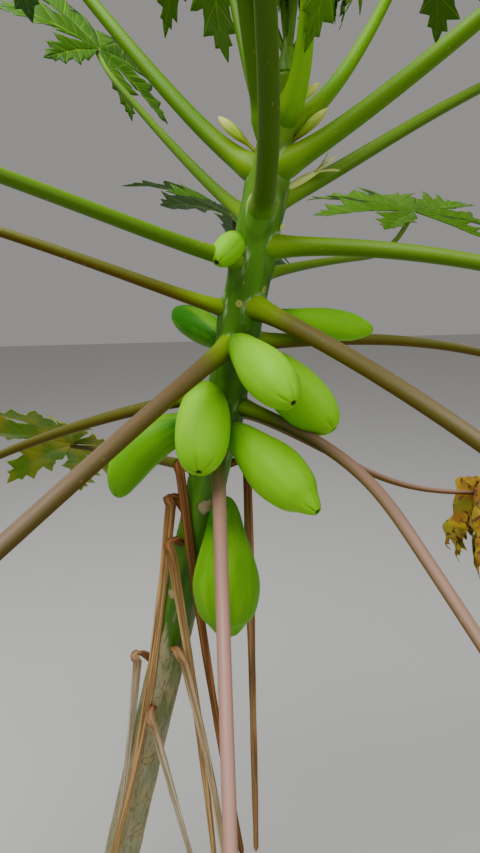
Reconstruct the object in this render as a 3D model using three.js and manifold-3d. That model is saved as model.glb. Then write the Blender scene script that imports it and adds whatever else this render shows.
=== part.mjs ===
// A young papaya tree in fruit: one leaning trunk from a flat cut at ground level to its shoot tip,
// leaf stalks in a spiral with a lobed blade on each, fruits hanging below the leaves, and the
// withered stalks of older leaves bent over along the trunk.
// Millimetres, +Z up. The origin is the middle of the flat cut under the trunk.
// Headings are degrees round +Z from +X. A rise is degrees above the horizontal.
import * as THREE from "three";
import { mergeVertices } from "three/addons/utils/BufferGeometryUtils.js";
import Module from "manifold-3d";

const wasm = await Module();
wasm.setup();

const GAP = 0.35;
const GOLDEN_ANGLE = 137.5;

// The trunk: its lean is millimetres sideways for each millimetre of height.
const TRUNK = {
  height: 1668,
  leanX: 0.254,
  leanY: -0.13,
  upturn: 16,
  upturnStart: 1200,
  footRadius: 36,
  crownRadius: 29,
  crownStart: 1050,
  flare: 21,
  flareHeight: 42,
  tipStart: 1480,
  tipRadius: 15,
  sides: 14,
  rings: 18,
};

// Leaf stalks: the base is swollen where it clasps the trunk, and leaves it flatter than the
// rest of the stalk.
const STALK = {
  baseRadius: 11,
  endRadius: 5.2,
  swell: 0.42,
  swellLength: 32,
  sagLength: 60,
  sides: 7,
  rings: 9,
};

// Leaf blades: seven lobes spread round the end of the stalk, joined for nearly half their length,
// each with two teeth a side.
const BLADE = {
  thickness: 4.6,
  lobes: 7,
  spread: 47,
  shortestLobe: 0.6,
  sinus: 0.45,
  cleft: 0.08,
  gather: 0.05,
};

// Half of one lobe, as shares of its length: distance from the stalk, then half width.
const LOBE_EDGE = [
  [0.55, 0.19],
  [0.67, 0.262],
  [0.66, 0.134],
  [0.84, 0.188],
  [0.83, 0.08],
];

// Living leaves from the lowest to the highest: height on the trunk, heading, rise, how much
// flatter the base lies, the change of rise along the stalk, the change of heading, its length
// and stoutness, the length of the middle lobe and how far the blade nods below the horizontal.
// A knee is an upward bend before the blade, from the share of the length given by its start, and
// a swell is how much of the swelling at the base the leaf has.
// A roll lifts the side of the blade that lies to the left as seen from the trunk, a swing turns
// the blade away from the heading of its stalk, and a droop is how far its tips hang, as a share
// of the middle lobe. What a leaf doesn't name is as in PLAIN_LEAF.
const PLAIN_LEAF = {
  sag: 0, turn: 0, veer: 0, swell: 1, roll: 0, swing: 0, droop: 0.3, knee: 0, kneeStart: 0.8,
};
const LEAVES = [
  {
    z: 1160, heading: 132, rise: -4, turn: -4, length: 430, stout: 0.85,
    blade: 219, nod: -17, roll: 43, swing: 43, droop: 0.2,
  },
  { z: 1208, heading: -88, rise: -20, turn: -26, length: 800, stout: 0.88, blade: 250, nod: 74 },
  { z: 1279, heading: 161, rise: -11, sag: -2, turn: -20, length: 720, stout: 0.95, blade: 250, nod: 54 },
  {
    z: 1268, heading: -29, rise: -15, turn: -5, veer: -49, length: 800, stout: 0.85,
    blade: 250, nod: 46,
  },
  {
    z: 1308, heading: 89, rise: 19, turn: 10, length: 580, stout: 0.75,
    blade: 258, nod: -22, roll: 25, swing: 41, droop: 0.15,
  },
  { z: 1352, heading: -117, rise: -15, sag: -4, turn: -3, length: 790, stout: 1.1, blade: 255, nod: 42 },
  { z: 1353, heading: 24, rise: 4, sag: 12, turn: -30, length: 740, stout: 0.95, blade: 245, nod: 48 },
  { z: 1404, heading: -53, rise: -14, turn: -18, length: 740, stout: 1.1, blade: 255, nod: 56 },
  { z: 1390, heading: -173, rise: 25, sag: 12, turn: -12, length: 700, stout: 0.8, blade: 245, nod: 26 },
  {
    z: 1435, heading: 54, rise: 8, sag: 2, turn: -9, veer: -7, length: 482, stout: 0.75,
    blade: 240, nod: -19, roll: 6, swing: 50, droop: 0.05, knee: 44, kneeStart: 0.59,
  },
  { z: 1457, heading: -137, rise: 18, sag: 16, turn: -5, length: 730, stout: 0.92, blade: 250, nod: 24 },
  { z: 1473, heading: -22, rise: 1, turn: -32, length: 700, stout: 1.1, blade: 250, nod: 54 },
  {
    z: 1505, heading: 119, rise: 29, sag: 14, turn: 4, length: 690, stout: 0.85,
    blade: 250, nod: -40, roll: 38, swing: -22, droop: 0.22, knee: 10,
  },
  {
    z: 1513, heading: -86, rise: 34, sag: 20, turn: 6, veer: -9, length: 640,
    stout: 1.2, swell: 0.7, blade: 240, nod: 22,
  },
  { z: 1527, heading: 25, rise: 32, sag: 22, turn: -14, length: 680, stout: 1, blade: 245, nod: 22 },
  { z: 1560, heading: 151, rise: 46, sag: 26, turn: 4, length: 600, stout: 1.15, blade: 240, nod: 24 },
  {
    z: 1563, heading: -16, rise: 32, sag: 14, turn: 8, length: 620, stout: 1.2, blade: 240, nod: 22,
  },
  {
    z: 1599, heading: -125, rise: 78, sag: 26, length: 470, stout: 1.25,
    blade: 215, nod: 30, droop: 0.45,
  },
  {
    z: 1606, heading: 110, rise: 60, sag: 26, turn: 6, length: 372, stout: 1.1,
    blade: 175, nod: 32, roll: -15, swing: -6, droop: 0.57,
  },
  {
    z: 1615, heading: 42, rise: 42, sag: 36, turn: 16, length: 405, stout: 1.1,
    blade: 215, nod: 20, roll: 8, swing: -34, droop: 0.3,
  },
  {
    z: 1618, heading: -60, rise: 60, sag: 44, turn: 30, veer: -20, length: 240, stout: 1.1,
    blade: 150, nod: 68, swing: 35, droop: 0.35,
  },
];

// The leaf that has yellowed and curled up at the end of a stalk that is still sound.
const WITHERED = {
  z: 1254,
  heading: 50,
  rise: -32,
  sag: -24,
  veer: -32,
  length: 545,
  stout: 0.8,
  knee: 23,
  kneeStart: 0.45,
};
const WITHERED_BLADE = { drop: 205, width: 64, lobes: 4 };

// Fruits: height and heading of the seat on the trunk, heading and dip of the fruit once its stalk
// has turned, its length and girth, how long a neck and how pointed an end it has, and its bend
// in degrees.
const FRUITS = [
  { z: 1348, seat: 115, heading: 131, dip: -17, length: 131, girth: 48, neck: 0.09, point: 0.13, bend: 0 },
  { z: 1357, seat: -97, heading: -60, dip: 25, length: 151, girth: 62, neck: 0.5, point: 0.13, bend: 0 },
  { z: 1329, seat: -6, heading: -34, dip: 37, length: 149, girth: 72, neck: 0.17, point: 0.04, bend: 2 },
  { z: 1290, seat: -153, heading: -94, dip: 35, length: 147, girth: 72, neck: 0.1, point: 0, bend: 2 },
  { z: 1232, seat: 178, heading: 181, dip: -7, length: 178, girth: 63, neck: 0.21, point: 0.26, bend: 89 },
  { z: 1234, seat: -68, heading: -46, dip: 28, length: 182, girth: 75, neck: 0.6, point: 0.8, bend: 0 },
  { z: 1385, seat: 19, heading: -2, dip: 9, length: 153, girth: 42, neck: 0.72, point: 0.08, bend: 0 },
  { z: 1124, seat: -41, heading: -90, dip: 70, length: 208, girth: 96, neck: 0.88, point: 0.3, bend: 13 },
];
const SMALL_FRUIT = {
  z: 1486, seat: -157, heading: -122, dip: 30, length: 56, girth: 36, neck: 0, point: 0.3, bend: 0,
};
const FRUIT_STALK = { radius: 6, sides: 12, turnStart: 0.02, turnEnd: 0.18 };

// Flower buds in the axils of the upper leaves: height, heading, rise, length and girth.
const BUDS = [
  { z: 1572, heading: 158, rise: 42, length: 68, girth: 14 },
  { z: 1574, heading: 4, rise: 40, length: 72, girth: 12 },
  { z: 1625, heading: 10, rise: 36, length: 46, girth: 10 },
  { z: 1528, heading: 6, rise: 27, length: 70, girth: 12 },
  { z: 1478, heading: -10, rise: 30, length: 16, girth: 8 },
  { z: 1606, heading: -92, rise: 50, length: 26, girth: 8 },
];
const BUD_NECK = 2.4;

// Withered stalks, bent over close to the trunk and hanging beside it: height, heading and rise
// where they leave it, the distance to the fold, heading and rise once hanging, rise at the end,
// whole length and radius.
const DEAD_STALKS = [
  { z: 1125, heading: -150, rise: 62, reach: 48, away: 30, hang: -85, end: -82, length: 820, radius: 6 },
  { z: 1068, heading: -166, rise: 60, reach: 46, away: 160, hang: -81, end: -73, length: 860, radius: 6 },
  { z: 1036, heading: -126, rise: 30, reach: 38, away: 60, hang: -81, end: -86, length: 800, radius: 6 },
  { z: 796, heading: -166, rise: 50, reach: 40, away: 150, hang: -80, end: -78, length: 600, radius: 5 },
  { z: 841, heading: -70, rise: 30, reach: 50, away: 40, hang: -79, end: -86, length: 640, radius: 5 },
  { z: 736, heading: -96, rise: 14, reach: 36, away: 60, hang: -77, end: -76, length: 560, radius: 5 },
  { z: 1162, heading: 22, rise: 10, reach: 32, away: 90, hang: -88, end: -78, length: 900, radius: 6 },
];
const FOLD_LENGTH = 46;

// Young leaves still folded, in a tuft on top of the trunk.
const TUFT = { leaves: 5, height: 46, radius: 15, stalkRadius: 3.2, longest: 150, step: 17, rise: 62 };

const COLOURS = {
  bark: 0x8a8660,
  stalk: 0x6f7d22,
  ageing: 0x84604c,
  blade: 0x4c7a1e,
  young: 0x7aa23a,
  fruit: 0x76a81c,
  withered: 0xb98f22,
  dead: 0x8a5a34,
};

const radians = THREE.MathUtils.degToRad;
const smooth = (x, low, high) => THREE.MathUtils.smoothstep(x, low, high);

function direction(heading, rise) {
  const flat = Math.cos(radians(rise));
  const turn = radians(heading);
  return new THREE.Vector3(Math.cos(turn) * flat, Math.sin(turn) * flat, Math.sin(radians(rise)));
}

function trunkCentre(z) {
  const upturn = TRUNK.upturn * smooth(z, TRUNK.upturnStart, TRUNK.height);
  return new THREE.Vector3(TRUNK.leanX * z - upturn, TRUNK.leanY * z, z);
}

function trunkRadius(z) {
  const taper = Math.max(0, 1 - z / TRUNK.crownStart);
  const flare = TRUNK.flare * Math.exp(-z / TRUNK.flareHeight);
  const tip = smooth(z, TRUNK.tipStart, TRUNK.height) * (TRUNK.crownRadius - TRUNK.tipRadius);
  return TRUNK.crownRadius + (TRUNK.footRadius - TRUNK.crownRadius) * taper + flare - tip;
}

// A closed mesh as a solid for joining and cutting, and back again.
function solidOf(geometry) {
  const bare = geometry.clone();
  bare.deleteAttribute("normal");
  bare.deleteAttribute("uv");
  const merged = mergeVertices(bare, 1e-3);
  return new wasm.Manifold(
    new wasm.Mesh({
      numProp: 3,
      vertProperties: merged.attributes.position.array,
      triVerts: new Uint32Array(merged.index.array),
    }),
  );
}

function geometryOf(solid) {
  const mesh = solid.getMesh();
  const geometry = new THREE.BufferGeometry();
  geometry.setAttribute("position", new THREE.BufferAttribute(new Float32Array(mesh.vertProperties), 3));
  geometry.setIndex(new THREE.BufferAttribute(new Uint32Array(mesh.triVerts), 1));
  geometry.computeVertexNormals();
  return geometry;
}

function largestPiece(solid) {
  return solid.decompose().reduce((best, piece) => (piece.volume() > best.volume() ? piece : best));
}

// Moves every vertex of a geometry to place(x, y, z).
function reshape(geometry, place) {
  const positions = geometry.attributes.position;
  const point = new THREE.Vector3();
  for (let i = 0; i < positions.count; i++) {
    point.fromBufferAttribute(positions, i);
    const moved = place(point.x, point.y, point.z);
    positions.setXYZ(i, moved.x, moved.y, moved.z);
  }
  return geometry;
}

// Walks along a limb: each stop has its place, the way it points, and a side direction that starts
// level and is carried along without twist. The stops lie closer together towards the start when
// crowding is above 1.
function walk(start, length, stopCount, headingAt, riseAt, crowding = 1) {
  const fine = 96;
  const place = start.clone();
  const track = [place.clone()];
  for (let i = 0; i < fine; i++) {
    const middle = (i + 0.5) / fine;
    place.addScaledVector(direction(headingAt(middle), riseAt(middle)), length / fine);
    track.push(place.clone());
  }
  const side = direction(headingAt(0) + 90, 0);
  return Array.from({ length: stopCount + 1 }, (_, i) => {
    const index = Math.round((i / stopCount) ** crowding * fine);
    const share = index / fine;
    const along = direction(headingAt(share), riseAt(share));
    side.projectOnPlane(along).normalize();
    return { place: track[index].clone(), along, side: side.clone(), share };
  });
}

// A closed tube round a walk: a cylinder whose rings are moved to the stops and scaled there.
function tubeSolid(stops, radiusAt, sides) {
  const rings = stops.length - 1;
  const cylinder = new THREE.CylinderGeometry(1, 1, rings, sides, rings);
  return solidOf(
    reshape(cylinder, (x, y, z) => {
      const stop = stops[Math.round(y + rings / 2)];
      const radius = radiusAt(stop.share);
      const across = new THREE.Vector3().crossVectors(stop.side, stop.along);
      return stop.place
        .clone()
        .addScaledVector(stop.side, x * radius)
        .addScaledVector(across, z * radius);
    }),
  );
}

function trunkSolid(extra) {
  const cylinder = new THREE.CylinderGeometry(1, 1, 1, TRUNK.sides, TRUNK.rings);
  cylinder.rotateX(Math.PI / 2);
  return solidOf(
    reshape(cylinder, (x, y, z) => {
      const height = (z + 0.5) ** 1.25 * TRUNK.height;
      const radius = trunkRadius(height) + extra;
      return trunkCentre(height).add(new THREE.Vector3(x * radius, y * radius, 0));
    }),
  );
}

function leafWalk(leaf) {
  const riseAt = (share) => {
    const sag = leaf.sag * Math.exp((-share * leaf.length) / STALK.sagLength);
    const knee = leaf.knee * smooth(share, leaf.kneeStart, 1);
    return leaf.rise + leaf.turn * share + knee - sag;
  };
  const headingAt = (share) => leaf.heading + leaf.veer * smooth(share, 0, 0.45);
  return walk(trunkCentre(leaf.z), leaf.length, STALK.rings, headingAt, riseAt, 1.35);
}

function stalkSolid(leaf, extra) {
  const radiusAt = (share) => {
    const fromTrunk = Math.max(0, share * leaf.length - TRUNK.crownRadius);
    const swell = 1 + STALK.swell * leaf.swell * Math.exp(-fromTrunk / STALK.swellLength);
    return THREE.MathUtils.lerp(STALK.baseRadius, STALK.endRadius, share) * swell * leaf.stout + extra;
  };
  return tubeSolid(leafWalk(leaf), radiusAt, STALK.sides);
}

// A flat blade whose middle lobe has length 1 and points along +X, as a closed mesh that reaches
// half a unit above and below the plane. Each lobe is filled from the joint outwards.
function flatBlade() {
  const half = (BLADE.lobes - 1) / 2;
  const lobeLength = (n) => 1 - (1 - BLADE.shortestLobe) * (Math.abs(n) / half) ** 1.5;
  const joint = new THREE.Vector2();
  const corner = (x, y, turn) => new THREE.Vector2(x, y).rotateAround(joint, radians(turn));
  const cleft = corner(-BLADE.cleft, 0, 0);
  const sinus = (n) => {
    if (Math.abs(n) > half) return cleft;
    return corner((BLADE.sinus * (lobeLength(n - 0.5) + lobeLength(n + 0.5))) / 2, 0, n * BLADE.spread);
  };
  const positions = [];
  const addFace = (...places) => {
    places.forEach(([at, z]) => positions.push(at.x, at.y, z));
  };
  for (let n = -half; n <= half; n++) {
    const turn = n * BLADE.spread;
    const length = lobeLength(n);
    const edge = (side) => LOBE_EDGE.map(([x, y]) => corner(x * length, y * side * length, turn));
    const tip = corner(length, 0, turn);
    const outline = [joint, sinus(n - 0.5), ...edge(-1), tip, ...edge(1).toReversed(), sinus(n + 0.5)];
    for (const [a, b, c] of THREE.ShapeUtils.triangulateShape(outline, [])) {
      addFace([outline[a], 0.5], [outline[b], 0.5], [outline[c], 0.5]);
      addFace([outline[a], -0.5], [outline[c], -0.5], [outline[b], -0.5]);
    }
    for (let i = 1; i < outline.length - 1; i++) {
      addFace([outline[i], -0.5], [outline[i + 1], -0.5], [outline[i + 1], 0.5]);
      addFace([outline[i], -0.5], [outline[i + 1], 0.5], [outline[i], 0.5]);
    }
  }
  const geometry = new THREE.BufferGeometry();
  return geometry.setAttribute("position", new THREE.Float32BufferAttribute(positions, 3));
}

// A blade seated on the end of its stalk, drooping towards its lobe tips. The more steeply the
// stalk runs up into the blade, the closer the blade lies to the stalk's end.
function bladeSolid(leaf, extra) {
  const { place: end, along } = leafWalk(leaf).at(-1);
  const tilt = [leaf.roll, leaf.nod, leaf.heading + leaf.veer + leaf.swing].map(radians);
  const turn = new THREE.Quaternion().setFromEuler(new THREE.Euler(...tilt, "ZYX"));
  const climb = Math.max(0, new THREE.Vector3(0, 0, 1).applyQuaternion(turn).dot(along));
  const edge = STALK.endRadius * leaf.stout * Math.sqrt(1 - climb * climb);
  const seat = edge + BLADE.thickness / 2 + GAP;
  return solidOf(
    reshape(flatBlade(), (x, y, z) => {
      const reach = Math.hypot(x, y);
      const ripple = Math.cos((Math.atan2(y, x) * 360) / BLADE.spread);
      const height = -leaf.droop * reach * reach - BLADE.gather * reach * ripple;
      const pull = 1 - 0.25 * leaf.droop * reach * reach;
      return new THREE.Vector3(x * pull, y * pull, height)
        .multiplyScalar(leaf.blade)
        .add(new THREE.Vector3(0, 0, seat + z * (BLADE.thickness + 2 * extra)))
        .applyQuaternion(turn)
        .add(end);
    }),
  );
}

// The outline of a fruit from its seat to its blossom end: place along it, then radius, as
// shares of its length and of half its girth.
function fruitProfile(fruit) {
  const { lerp } = THREE.MathUtils;
  const stalk = (2 * FRUIT_STALK.radius) / fruit.girth;
  return [
    [0, stalk],
    [0.07, stalk],
    [0.115, lerp(0.44, 0.3, fruit.neck)],
    [0.18, lerp(0.68, 0.43, fruit.neck)],
    [0.3, lerp(0.9, 0.56, fruit.neck)],
    [lerp(0.5, 0.62, fruit.neck), 1],
    [lerp(0.74, 0.82, fruit.neck), lerp(0.93, 0.8, fruit.point)],
    [0.9, lerp(0.68, 0.42, fruit.point)],
    [0.965, lerp(0.42, 0.24, fruit.point)],
    [1, 0.12],
  ];
}

function fruitSolid(fruit) {
  const start = trunkCentre(fruit.z);
  const inset = TRUNK.crownRadius * 0.6;
  start.addScaledVector(direction(fruit.seat, 0), inset);
  const length = fruit.length + TRUNK.crownRadius - inset;
  const half = fruit.girth / 2;
  const outline = [[0, 0], ...fruitProfile(fruit), [1, 0]];
  const lathe = new THREE.LatheGeometry(
    outline.map(([along, radius]) => new THREE.Vector2(radius * half, along * length)),
    FRUIT_STALK.sides,
  );
  const steps = 24;
  const turned = (share) => smooth(share, FRUIT_STALK.turnStart, FRUIT_STALK.turnEnd);
  const stops = walk(
    start,
    length,
    steps,
    (share) => THREE.MathUtils.lerp(fruit.seat, fruit.heading, turned(share)),
    (share) => -fruit.dip * turned(share) - fruit.bend * share,
  );
  return solidOf(
    reshape(lathe, (x, y, z) => {
      const index = Math.min(steps - 1, Math.floor((y / length) * steps));
      const rest = (y / length) * steps - index;
      const from = stops[index];
      const place = from.place.clone().lerp(stops[index + 1].place, rest);
      const across = new THREE.Vector3().crossVectors(from.side, from.along);
      return place.addScaledVector(from.side, x).addScaledVector(across, z);
    }),
  );
}

function budSolid(bud) {
  const radius = bud.girth / 2;
  const start = trunkCentre(bud.z);
  const length = bud.length + trunkRadius(bud.z);
  const shape = (share) => {
    if (share < 0.55) return BUD_NECK;
    const body = Math.sin((Math.PI * (share - 0.5)) / 0.54);
    return BUD_NECK * 0.6 + radius * Math.max(0, body) ** 0.7;
  };
  return tubeSolid(walk(start, length, 7, () => bud.heading, () => bud.rise), shape, 5);
}

function deadStalkSolid(stalk) {
  const start = stalk.reach / stalk.length;
  const fold = (stalk.reach + FOLD_LENGTH) / stalk.length;
  const lerp = THREE.MathUtils.lerp;
  const riseAt = (share) =>
    lerp(stalk.rise, stalk.hang, smooth(share, start, fold)) +
    (stalk.end - stalk.hang) * smooth(share, fold, 1);
  const headingAt = (share) =>
    lerp(stalk.heading, stalk.away, smooth(share, lerp(start, fold, 0.4), fold));
  const radiusAt = (share) => stalk.radius * (1.25 - 0.5 * share);
  const stops = walk(trunkCentre(stalk.z), stalk.length, 14, headingAt, riseAt, 1.8);
  return tubeSolid(stops, radiusAt, 5);
}

function witheredSolid(leaf, shape) {
  const end = leafWalk(leaf).at(-1).place;
  let solid = stalkSolid(leaf, 0);
  for (let n = 0; n < shape.lobes; n++) {
    const heading = leaf.heading + leaf.veer + (n - (shape.lobes - 1) / 2) * 62;
    const drop = shape.drop * (1 - 0.09 * Math.abs(n - 2));
    const hang = walk(end, drop, 5, () => heading, (share) => 54 - 150 * smooth(share, 0, 0.4));
    const fullness = (share) => 0.45 + Math.sin(Math.PI * Math.min(1, share + 0.12));
    const radiusAt = (share) => (shape.width / 5) * fullness(share);
    solid = solid.add(tubeSolid(hang, radiusAt, 5));
  }
  return solid;
}

function tuftSolid() {
  const foot = trunkCentre(TRUNK.height).add(new THREE.Vector3(0, 0, GAP));
  let solid = tubeSolid(
    walk(foot, TUFT.height, 2, () => 0, () => 90),
    (share) => TUFT.radius * (1 - 0.75 * share),
    8,
  );
  for (let n = 0; n < TUFT.leaves; n++) {
    const heading = n * GOLDEN_ANGLE + 20;
    const length = TUFT.longest - n * TUFT.step;
    const rise = TUFT.rise + n * 4;
    const start = foot.clone().add(new THREE.Vector3(0, 0, TUFT.height * (0.2 + 0.1 * n)));
    const stops = walk(start, length, 3, () => heading, (share) => rise + 10 * share);
    solid = solid.add(tubeSolid(stops, (share) => TUFT.stalkRadius * (1.3 - 0.6 * share), 5));
    const hang = walk(stops.at(-1).place, length * 0.62, 4, () => heading, (share) => 30 - 110 * share);
    const fullness = (share) => 0.8 + 2.6 * Math.sin(Math.PI * Math.min(1, share + 0.05));
    const folded = (share) => TUFT.stalkRadius * fullness(share);
    solid = solid.add(tubeSolid(hang, folded, 5));
  }
  return solid;
}

// Puts the tree together: whatever meets the trunk is cut clear of it, and blades and fruits
// are cut clear of the stalks they touch.
function papayaTree() {
  const tree = new THREE.Group();
  const material = (colour, roughness) =>
    new THREE.MeshStandardMaterial({ color: colour, roughness, metalness: 0 });
  const looks = {
    bark: material(COLOURS.bark, 0.85),
    stalk: material(COLOURS.stalk, 0.4),
    ageing: material(COLOURS.ageing, 0.5),
    blade: material(COLOURS.blade, 0.5),
    young: material(COLOURS.young, 0.5),
    fruit: material(COLOURS.fruit, 0.35),
    withered: material(COLOURS.withered, 0.8),
    dead: material(COLOURS.dead, 0.85),
  };
  const add = (name, solid, look) => {
    const mesh = new THREE.Mesh(geometryOf(solid), looks[look]);
    mesh.name = name;
    tree.add(mesh);
  };
  const number = (index) => String(index + 1).padStart(2, "0");

  const leaves = LEAVES.map((leaf) => ({ ...PLAIN_LEAF, ...leaf }));
  const witheredLeaf = { ...PLAIN_LEAF, ...WITHERED };
  const core = trunkSolid(GAP);
  const stalks = [...leaves, witheredLeaf].map((leaf) => stalkSolid(leaf, GAP));
  const clearOf = (solid, others) => others.reduce((left, other) => left.subtract(other), solid);

  const growths = [...BUDS.map(budSolid), fruitSolid(SMALL_FRUIT)].map((growth) => clearOf(growth, stalks));
  add("trunk", largestPiece(growths.reduce((sum, growth) => sum.add(growth), trunkSolid(0))), "bark");

  const taken = [];
  const blades = [];
  leaves.forEach((leaf, index) => {
    const stalk = largestPiece(clearOf(stalkSolid(leaf, 0).subtract(core), taken));
    taken.push(stalks[index]);
    add(`leaf_stalk_${number(index)}`, stalk, leaf.z < 1420 ? "ageing" : "stalk");
    const blade = largestPiece(clearOf(bladeSolid(leaf, 0), [...blades, stalks[index]]));
    blades.push(bladeSolid(leaf, GAP));
    add(`leaf_blade_${number(index)}`, blade, leaf.z > 1590 ? "young" : "blade");
  });
  const withered = clearOf(witheredSolid(witheredLeaf, WITHERED_BLADE).subtract(core), taken);
  add("withered_leaf", largestPiece(withered), "withered");

  FRUITS.forEach((fruit, index) => {
    const solid = largestPiece(clearOf(fruitSolid(fruit).subtract(core), stalks));
    add(`fruit_${number(index)}`, solid, "fruit");
  });
  DEAD_STALKS.forEach((stalk, index) => {
    add(`dead_stalk_${number(index)}`, largestPiece(deadStalkSolid(stalk).subtract(core)), "dead");
  });
  add("shoot_tip", tuftSolid(), "young");
  return tree;
}

export default papayaTree();
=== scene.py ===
import bpy
import numpy as np
from mathutils import Euler, Matrix, Vector


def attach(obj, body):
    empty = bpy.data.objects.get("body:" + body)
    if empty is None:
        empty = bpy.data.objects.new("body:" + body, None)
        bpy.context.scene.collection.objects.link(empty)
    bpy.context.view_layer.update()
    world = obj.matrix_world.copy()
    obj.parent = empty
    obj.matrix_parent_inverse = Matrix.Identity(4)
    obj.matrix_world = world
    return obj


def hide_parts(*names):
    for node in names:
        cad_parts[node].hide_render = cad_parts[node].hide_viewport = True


# The frame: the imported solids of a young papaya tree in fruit, in metres, with the flat cut under
# the trunk at the origin. Their box is kept, so that the finished tree can be measured against it.
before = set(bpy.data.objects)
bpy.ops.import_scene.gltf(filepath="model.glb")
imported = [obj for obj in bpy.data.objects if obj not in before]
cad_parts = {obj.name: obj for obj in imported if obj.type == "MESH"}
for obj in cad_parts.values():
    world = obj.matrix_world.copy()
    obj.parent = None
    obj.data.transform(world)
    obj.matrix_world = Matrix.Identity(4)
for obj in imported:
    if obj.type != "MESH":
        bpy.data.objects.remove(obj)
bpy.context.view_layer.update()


# Trunk
# One soft, slender stem, green under the leaves and corky below. Every leaf that dropped left a
# shield-shaped scar, in the same spiral as the living leaves, which sit on swollen cushions.
TRUNK_HEIGHT = 1.668
TRUNK_LEAN = (0.254, -0.13)
STEM_RADIUS = 0.029
TRUNK_TAPER = dict(size=0.007, up_to=1.05)
ROOT_FLARE = dict(size=0.021, height=0.042)
TIP_TAPER = dict(size=0.014, start=1.48)
UPTURN = dict(size=0.016, start=1.2)
TRUNK_SIDES = 96
TRUNK_RINGS = 470
GOLDEN_ANGLE = 137.5
SCAR = dict(lowest=0.045, highest=1.14, step=0.034, turn=-GOLDEN_ANGLE, first=172)
SCAR_SIZE = (0.0115, 0.0092)
SCAR_RELIEF = dict(cushion=0.0012, rim=0.0006, face=0.0007, line=0.0004)
FLUTES = dict(count=5, size=0.0045, height=0.055)
LEAF_CUSHION = dict(size=0.0055, wide=0.0125, wider=0.006, below=0.040, above=0.017)
# On the side that is seen, headings within the span of it, the scars are set one by one.
SEEN_SIDE = dict(heading=-92, span=88, lowest=0.60)
PLAIN_SCARS = [(1.113, -78), (1.049, -178), (0.964, -117), (0.854, -66), (0.774, -102), (0.626, -78)]
SMALL_SCARS = [(1.420, -38), (1.404, -104)]
SMALL_SCAR_TAN = (0.46, 0.42, 0.10, 1)
FRESH_GREEN = (0.042, 0.145, 0.0, 1)
PALE_GREEN = (0.085, 0.255, 0.0, 1)
TIP_GREEN = (0.13, 0.28, 0.004, 1)
CORK_TAN = (0.42, 0.35, 0.18, 1)
CORK_GREEN = (0.062, 0.15, 0.0, 1)
CORK_GREY = (0.36, 0.36, 0.21, 1)
CORK_BROWN = (0.075, 0.050, 0.018, 1)
SCAR_TAN = (0.40, 0.29, 0.13, 1)
# A dark green painted as the shadow under each stalk's base.
UNDER_BASE_SHADE = (0.02, 0.045, 0.0, 1)
WAX = (0.50, 0.60, 0.32, 1)
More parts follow.
